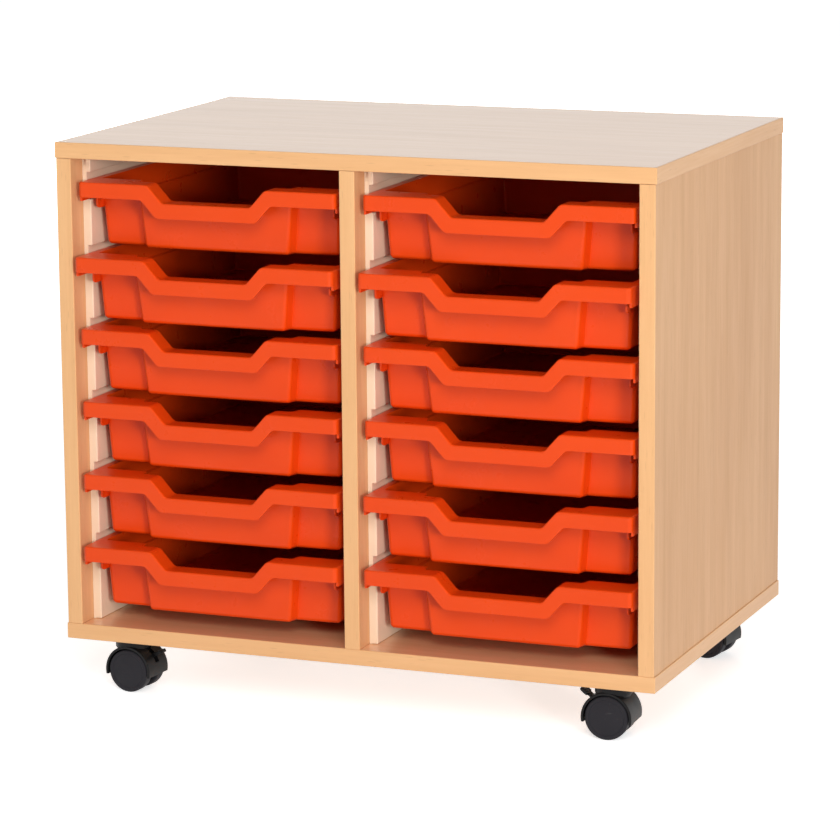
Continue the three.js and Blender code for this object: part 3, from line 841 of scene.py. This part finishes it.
# beech with its grain along Z of the given vector: growth bands, fine fibres and short dark flecks
def makeBeechGrain():
    inputs = (("Vector", "Vector", (0, 0, 0)), ("Light", "Color", (1, 1, 1, 1)), ("Dark", "Color", (0, 0, 0, 1)),
              ("Fleck", "Color", (0, 0, 0, 1)), ("Bands", "Float", 0.5), ("Fibres", "Float", 0.5),
              ("Flecks", "Float", 0.5), ("Roughness", "Float", 0.4))
    outputs = (("Color", "Color"), ("Roughness", "Float"), ("Height", "Float"))
    group, start, end = newGroup("beechGrain", inputs, outputs)
    vector = start.outputs["Vector"]
    bandNoise = addNoise(group, stretch(group, vector, (1, 1, 0.07)), 45, 3, 0.55)
    fibreNoise = addNoise(group, stretch(group, vector, (1, 1, 0.035)), 380, 3, 0.6)
    toneNoise = addNoise(group, stretch(group, vector, (1, 1, 0.3)), 6, 2)
    bands = remap(group, bandNoise, 0.3, 0.7, 0, 1)
    fibres = remap(group, fibreNoise, 0.32, 0.68, 0, 1)
    tone = remap(group, toneNoise, 0.3, 0.7, 0, 0.35)
    bandShare = math2(group, "MULTIPLY", bands, start.outputs["Bands"])
    fibreShare = math2(group, "MULTIPLY", fibres, start.outputs["Fibres"])
    darkness = math2(group, "ADD", math2(group, "ADD", bandShare, fibreShare), tone)
    wood = mixColor(group, darkness, start.outputs["Light"], start.outputs["Dark"])
    cells = addNode(group, "ShaderNodeTexVoronoi", {"Vector": stretch(group, vector, (1, 1, 0.11)), "Scale": 330.0})
    fleckShape = remap(group, cells.outputs["Distance"], 0.1, 0.24, 1, 0)
    fleckPatches = remap(group, addNoise(group, stretch(group, vector, (1, 1, 0.4)), 60, 1), 0.42, 0.6, 0, 1)
    flecks = math2(group, "MULTIPLY", fleckShape, fleckPatches)
    fleckShare = math2(group, "MULTIPLY", flecks, start.outputs["Flecks"])
    color = mixColor(group, fleckShare, wood, start.outputs["Fleck"])
    group.links.new(color, end.inputs["Color"])
    sheen = math2(group, "MULTIPLY", fibres, 0.06)
    group.links.new(math2(group, "ADD", start.outputs["Roughness"], sheen), end.inputs["Roughness"])
    group.links.new(math2(group, "SUBTRACT", fibres, flecks), end.inputs["Height"])
    return group


# a moulded plastic skin: slow drift in tone and gloss, and a fine spark-eroded grain
def makeMouldedSkin():
    inputs = (("Vector", "Vector", (0, 0, 0)), ("Color", "Color", (1, 1, 1, 1)), ("Shade", "Color", (0, 0, 0, 1)),
              ("Drift", "Float", 0.1), ("Roughness", "Float", 0.4), ("Gloss Drift", "Float", 0.08),
              ("Grain Scale", "Float", 900.0))
    outputs = (("Color", "Color"), ("Roughness", "Float"), ("Height", "Float"))
    group, start, end = newGroup("mouldedSkin", inputs, outputs)
    vector = start.outputs["Vector"]
    slow = remap(group, addNoise(group, vector, 11, 3), 0.3, 0.7, 0, 1)
    patches = remap(group, addNoise(group, vector, 38, 4, 0.6), 0.3, 0.7, -0.5, 0.5)
    grainNode = addNode(group, "ShaderNodeTexNoise", {"Vector": vector, "Scale": start.outputs["Grain Scale"],
                                                      "Detail": 2.0})
    drift = math2(group, "MULTIPLY", slow, start.outputs["Drift"])
    group.links.new(mixColor(group, drift, start.outputs["Color"], start.outputs["Shade"]), end.inputs["Color"])
    glossShift = math2(group, "MULTIPLY", patches, start.outputs["Gloss Drift"])
    group.links.new(math2(group, "ADD", start.outputs["Roughness"], glossShift), end.inputs["Roughness"])
    group.links.new(grainNode.outputs["Fac"], end.inputs["Height"])
    return group


# thin scuffs and rubbed patches from use, as a mask
def makeRubMarks():
    inputs = (("Vector", "Vector", (0, 0, 0)), ("Amount", "Float", 0.3))
    group, start, end = newGroup("rubMarks", inputs, (("Mask", "Float"),))
    vector = start.outputs["Vector"]
    lines = []
    for factors in ((1, 0.05, 1), (0.06, 1, 0.4)):
        noise = addNoise(group, stretch(group, vector, factors), 420, 2, 0.6)
        lines.append(remap(group, noise, 0.63, 0.72, 0, 1))
    patches = remap(group, addNoise(group, vector, 26, 3, 0.6), 0.5, 0.72, 0, 1)
    marks = math2(group, "MULTIPLY", math2(group, "MAXIMUM", *lines), patches)
    group.links.new(math2(group, "MULTIPLY", marks, start.outputs["Amount"]), end.inputs["Mask"])
    return group


# materials

# one beech laminate, given a lighter colour on the top and base (grain along x) and a darker, more saturated one on
# the upright boards (grain along z): the darker upright copy is painted shade on the sides
beechLook = {
    "boardLight": {"x": (0.91, 0.56, 0.31, 1), "z": (0.82, 0.48, 0.24, 1)},
    "boardDark": {"x": (0.75, 0.415, 0.2, 1), "z": (0.65, 0.335, 0.145, 1)}, "fleck": (0.42, 0.2, 0.085, 1),
    "edgeLight": (0.86, 0.495, 0.23, 1), "edgeDark": (0.72, 0.38, 0.16, 1),
    "bands": 0.42, "fibres": 0.22, "flecks": 0.25, "roughness": 0.33, "bumpDistance": 0.05 * mm, "bump": 0.2,
    "coat": {"x": 0.9, "z": 0.0}, "specular": {"x": 0.5, "z": 0.15}, "coatRoughness": 0.25,
}
plasticLooks = {
    "tray": {"color": (0.8, 0.066, 0.004, 1), "shade": (0.73, 0.05, 0.003, 1), "drift": 0.35, "specular": 0.25,
             "roughness": 0.3, "glossDrift": 0.07, "grain": 700.0, "rub": 0.1, "rubColor": (0.88, 0.16, 0.06, 1)},
    "runner": {"color": (0.87, 0.7, 0.51, 1), "shade": (0.8, 0.63, 0.45, 1), "drift": 0.3, "specular": 0.5,
               "roughness": 0.42, "glossDrift": 0.08, "grain": 800.0, "rub": 0.25, "rubColor": (0.66, 0.55, 0.4, 1)},
    "hood": {"color": (0.006, 0.006, 0.0065, 1), "shade": (0.01, 0.01, 0.011, 1), "drift": 0.5, "specular": 0.22,
             "roughness": 0.42, "glossDrift": 0.1, "grain": 1100.0, "rub": 0.4, "rubColor": (0.06, 0.06, 0.062, 1)},
    "wheel": {"color": (0.019, 0.018, 0.022, 1), "shade": (0.026, 0.025, 0.029, 1), "drift": 0.5, "specular": 0.2,
              "roughness": 0.6, "glossDrift": 0.1, "grain": 1300.0, "rub": 0.3, "rubColor": (0.12, 0.117, 0.115, 1)},
}
metalLooks = {
    "plate": {"color": (0.016, 0.016, 0.017, 1), "shade": (0.03, 0.03, 0.031, 1), "metallic": 0.0, "roughness": 0.42,
              "rub": 0.5, "rubColor": (0.2, 0.2, 0.2, 1)},
    "steel": {"color": (0.62, 0.62, 0.61, 1), "shade": (0.48, 0.47, 0.45, 1), "metallic": 1.0, "roughness": 0.3,
              "rub": 0.6, "rubColor": (0.3, 0.28, 0.25, 1)},
}
grainTurns = {"x": (0, math.pi / 2, 0), "y": (math.pi / 2, 0, 0), "z": (0, 0, 0)}


# object coordinates turned so that the grain runs along the named axis
def grainAlong(tree, coordinates, axis):
    mapping = addNode(tree, "ShaderNodeMapping", {"Vector": coordinates, "Rotation": grainTurns[axis]})
    return mapping.outputs["Vector"]


def finishBeech(tree, shader, group, vector, light, dark):
    look = beechLook
    wood = placeGroup(tree, group, {"Vector": vector, "Light": light, "Dark": dark, "Fleck": look["fleck"],
                                    "Bands": look["bands"], "Fibres": look["fibres"], "Flecks": look["flecks"],
                                    "Roughness": look["roughness"]})
    tree.links.new(wood["Color"], shader.inputs["Base Color"])
    tree.links.new(wood["Roughness"], shader.inputs["Roughness"])
    addBump(tree, shader, wood["Height"], look["bumpDistance"], look["bump"])


# the colour is picked by grain axis, so the upright boards get the darker copy of the beech: painted shade
def makeBoardMaterial(group, axis):
    material, tree, shader = newMaterial(f"beechBoard{axis.upper()}")
    vector = grainAlong(tree, objectCoordinates(tree), axis)
    finishBeech(tree, shader, group, vector, beechLook["boardLight"][axis], beechLook["boardDark"][axis])
    shader.inputs["Specular IOR Level"].default_value = beechLook["specular"][axis]
    shader.inputs["Coat Weight"].default_value = beechLook["coat"][axis]
    shader.inputs["Coat Roughness"].default_value = beechLook["coatRoughness"]
    return material


# edging grain follows each strip: along Y on the strips that face sideways, otherwise along its own axis
def makeEdgingMaterial(group, axis):
    material, tree, shader = newMaterial(f"beechEdging{axis.upper()}")
    coordinates = objectCoordinates(tree)
    vector = grainAlong(tree, coordinates, axis)
    if axis == "x":
        normal = addNode(tree, "ShaderNodeNewGeometry").outputs["Normal"]
        across = addNode(tree, "ShaderNodeSeparateXYZ", {"Vector": normal}).outputs["X"]
        sideways = math2(tree, "GREATER_THAN", math2(tree, "MULTIPLY", across, across), 0.5)
        vector = mixColor(tree, sideways, vector, grainAlong(tree, coordinates, "y"))
    finishBeech(tree, shader, group, vector, beechLook["edgeLight"], beechLook["edgeDark"])
    return material


def makePlastic(name, skin, rub):
    look = plasticLooks[name]
    material, tree, shader = newMaterial(f"{name}Plastic")
    vector = objectCoordinates(tree)
    surface = placeGroup(tree, skin, {"Vector": vector, "Color": look["color"], "Shade": look["shade"],
                                      "Drift": look["drift"], "Roughness": look["roughness"],
                                      "Gloss Drift": look["glossDrift"], "Grain Scale": look["grain"]})
    marks = placeGroup(tree, rub, {"Vector": vector, "Amount": look["rub"]})["Mask"]
    color = mixColor(tree, marks, surface["Color"], look["rubColor"])
    tree.links.new(color, shader.inputs["Base Color"])
    tree.links.new(math2(tree, "ADD", surface["Roughness"], math2(tree, "MULTIPLY", marks, 0.25)), shader.inputs["Roughness"])
    shader.inputs["Specular IOR Level"].default_value = look["specular"]
    addBump(tree, shader, surface["Height"], 0.04 * mm, 0.3)
    return material


def makeMetal(name, skin, rub):
    look = metalLooks[name]
    material, tree, shader = newMaterial(f"castor{name.capitalize()}")
    vector = objectCoordinates(tree)
    surface = placeGroup(tree, skin, {"Vector": vector, "Color": look["color"], "Shade": look["shade"],
                                      "Drift": 0.5, "Roughness": look["roughness"], "Gloss Drift": 0.15,
                                      "Grain Scale": 1500.0})
    marks = placeGroup(tree, rub, {"Vector": vector, "Amount": look["rub"]})["Mask"]
    tree.links.new(mixColor(tree, marks, surface["Color"], look["rubColor"]), shader.inputs["Base Color"])
    tree.links.new(math2(tree, "ADD", surface["Roughness"], math2(tree, "MULTIPLY", marks, 0.2)), shader.inputs["Roughness"])
    shader.inputs["Metallic"].default_value = look["metallic"]
    addBump(tree, shader, surface["Height"], 0.02 * mm, 0.2)
    return material


# camera, floor and light

cameraView = {"location": (1.5767, -3.9610, 1.1555), "pitch": 78.64, "heading": 21.81, "roll": -0.487,
              "lens": 161.61, "sensor": 36}
studio = {
    "floorSize": 60, "floorColor": (0.9, 0.9, 0.9, 1), "worldFill": 0.31,
    "glowNear": 0.63, "glowFar": 0.73, "nearRadius": 1.0, "farRadius": 3.0,
    "lamps": {
        "keyLamp": {"place": (4.68, -5.2, 1.19), "size": 1.2, "power": 216},
        "highLamp": {"place": (1.3, -3.6, 2.45), "size": 1.6, "power": 70},
        "backLamp": {"place": (-2.6, 5.2, 1.3), "size": 1.6, "power": 130},
    },
    "target": (0, 0, 0.32),
}


def makeCamera():
    view = cameraView
    data = bpy.data.cameras.new("camera")
    data.lens = view["lens"]
    data.sensor_width = view["sensor"]
    camera = bpy.data.objects.new("camera", data)
    bpy.context.scene.collection.objects.link(camera)
    turn = Matrix.Rotation(math.radians(view["heading"]), 4, "Z")
    tilt = Matrix.Rotation(math.radians(view["pitch"]), 4, "X")
    roll = Matrix.Rotation(math.radians(view["roll"]), 4, "Z")
    camera.matrix_world = Matrix.Translation(view["location"]) @ turn @ tilt @ roll
    bpy.context.scene.camera = camera


# 1 for rays that show the background itself: from the camera, or seen in gloss and through clear parts
def seenDirectly(tree):
    path = addNode(tree, "ShaderNodeLightPath").outputs
    seen = math2(tree, "MAXIMUM", path["Is Camera Ray"], path["Is Glossy Ray"])
    return math2(tree, "MAXIMUM", seen, path["Is Transmission Ray"])


def makeFloor():
    deselectAll()
    bpy.ops.mesh.primitive_plane_add(size=studio["floorSize"])
    floor = nameObject("studioFloor")
    material, tree, shader = newMaterial("paleFloor")
    shader.inputs["Base Color"].default_value = studio["floorColor"]
    shader.inputs["Roughness"].default_value = 0.9
    shader.inputs["Specular IOR Level"].default_value = 0
    shader.inputs["Emission Color"].default_value = (1, 1, 1, 1)
    away = addNode(tree, "ShaderNodeVectorMath", {0: objectCoordinates(tree)}, operation="LENGTH").outputs["Value"]
    glow = remap(tree, away, studio["nearRadius"], studio["farRadius"], studio["glowNear"], studio["glowFar"])
    tree.links.new(math2(tree, "MULTIPLY", seenDirectly(tree), glow), shader.inputs["Emission Strength"])
    floor.data.materials.append(material)


def makeWorld():
    world = bpy.data.worlds.new("studioWorld")
    bpy.context.scene.world = world
    world.use_nodes = True
    tree = world.node_tree
    tree.nodes.clear()
    strength = remap(tree, seenDirectly(tree), 0, 1, studio["worldFill"], 1)
    background = addNode(tree, "ShaderNodeBackground", {"Color": (1, 1, 1, 1), "Strength": strength})
    addNode(tree, "ShaderNodeOutputWorld", {"Surface": background.outputs["Background"]})


# the lamps stay out of the gloss, so that the coated boards show no glare from any side
def makeLamps():
    for name, lamp in studio["lamps"].items():
        data = bpy.data.lights.new(name, "AREA")
        data.energy = lamp["power"]
        data.size = lamp["size"]
        obj = bpy.data.objects.new(name, data)
        bpy.context.scene.collection.objects.link(obj)
        place = Vector(lamp["place"])
        aim = (Vector(studio["target"]) - place).to_track_quat("-Z", "Y")
        obj.matrix_world = Matrix.Translation(place) @ aim.to_matrix().to_4x4()
        obj.visible_glossy = False


# assembly

makeCamera()
makeFloor()
makeWorld()
makeLamps()
bpy.context.scene.view_settings.view_transform = "Standard"
print("studio done")

beechGrain = makeBeechGrain()
mouldedSkin = makeMouldedSkin()
rubMarks = makeRubMarks()
boardMaterials = {axis: makeBoardMaterial(beechGrain, axis) for axis in ("x", "z")}
plastics = {name: makePlastic(name, mouldedSkin, rubMarks) for name in plasticLooks}
metals = {name: makeMetal(name, mouldedSkin, rubMarks) for name in metalLooks}
print("materials done")

makeBoards(boardMaterials)
makeRingBands(makeEdgingMaterial(beechGrain, "x"))
makeStripBands(makeEdgingMaterial(beechGrain, "z"))
print("boards done")
makeRunners(plastics["runner"], metals["steel"])
makeTrays(plastics["tray"])
makeCastors({**plastics, **metals})
finishPins(metals["steel"])
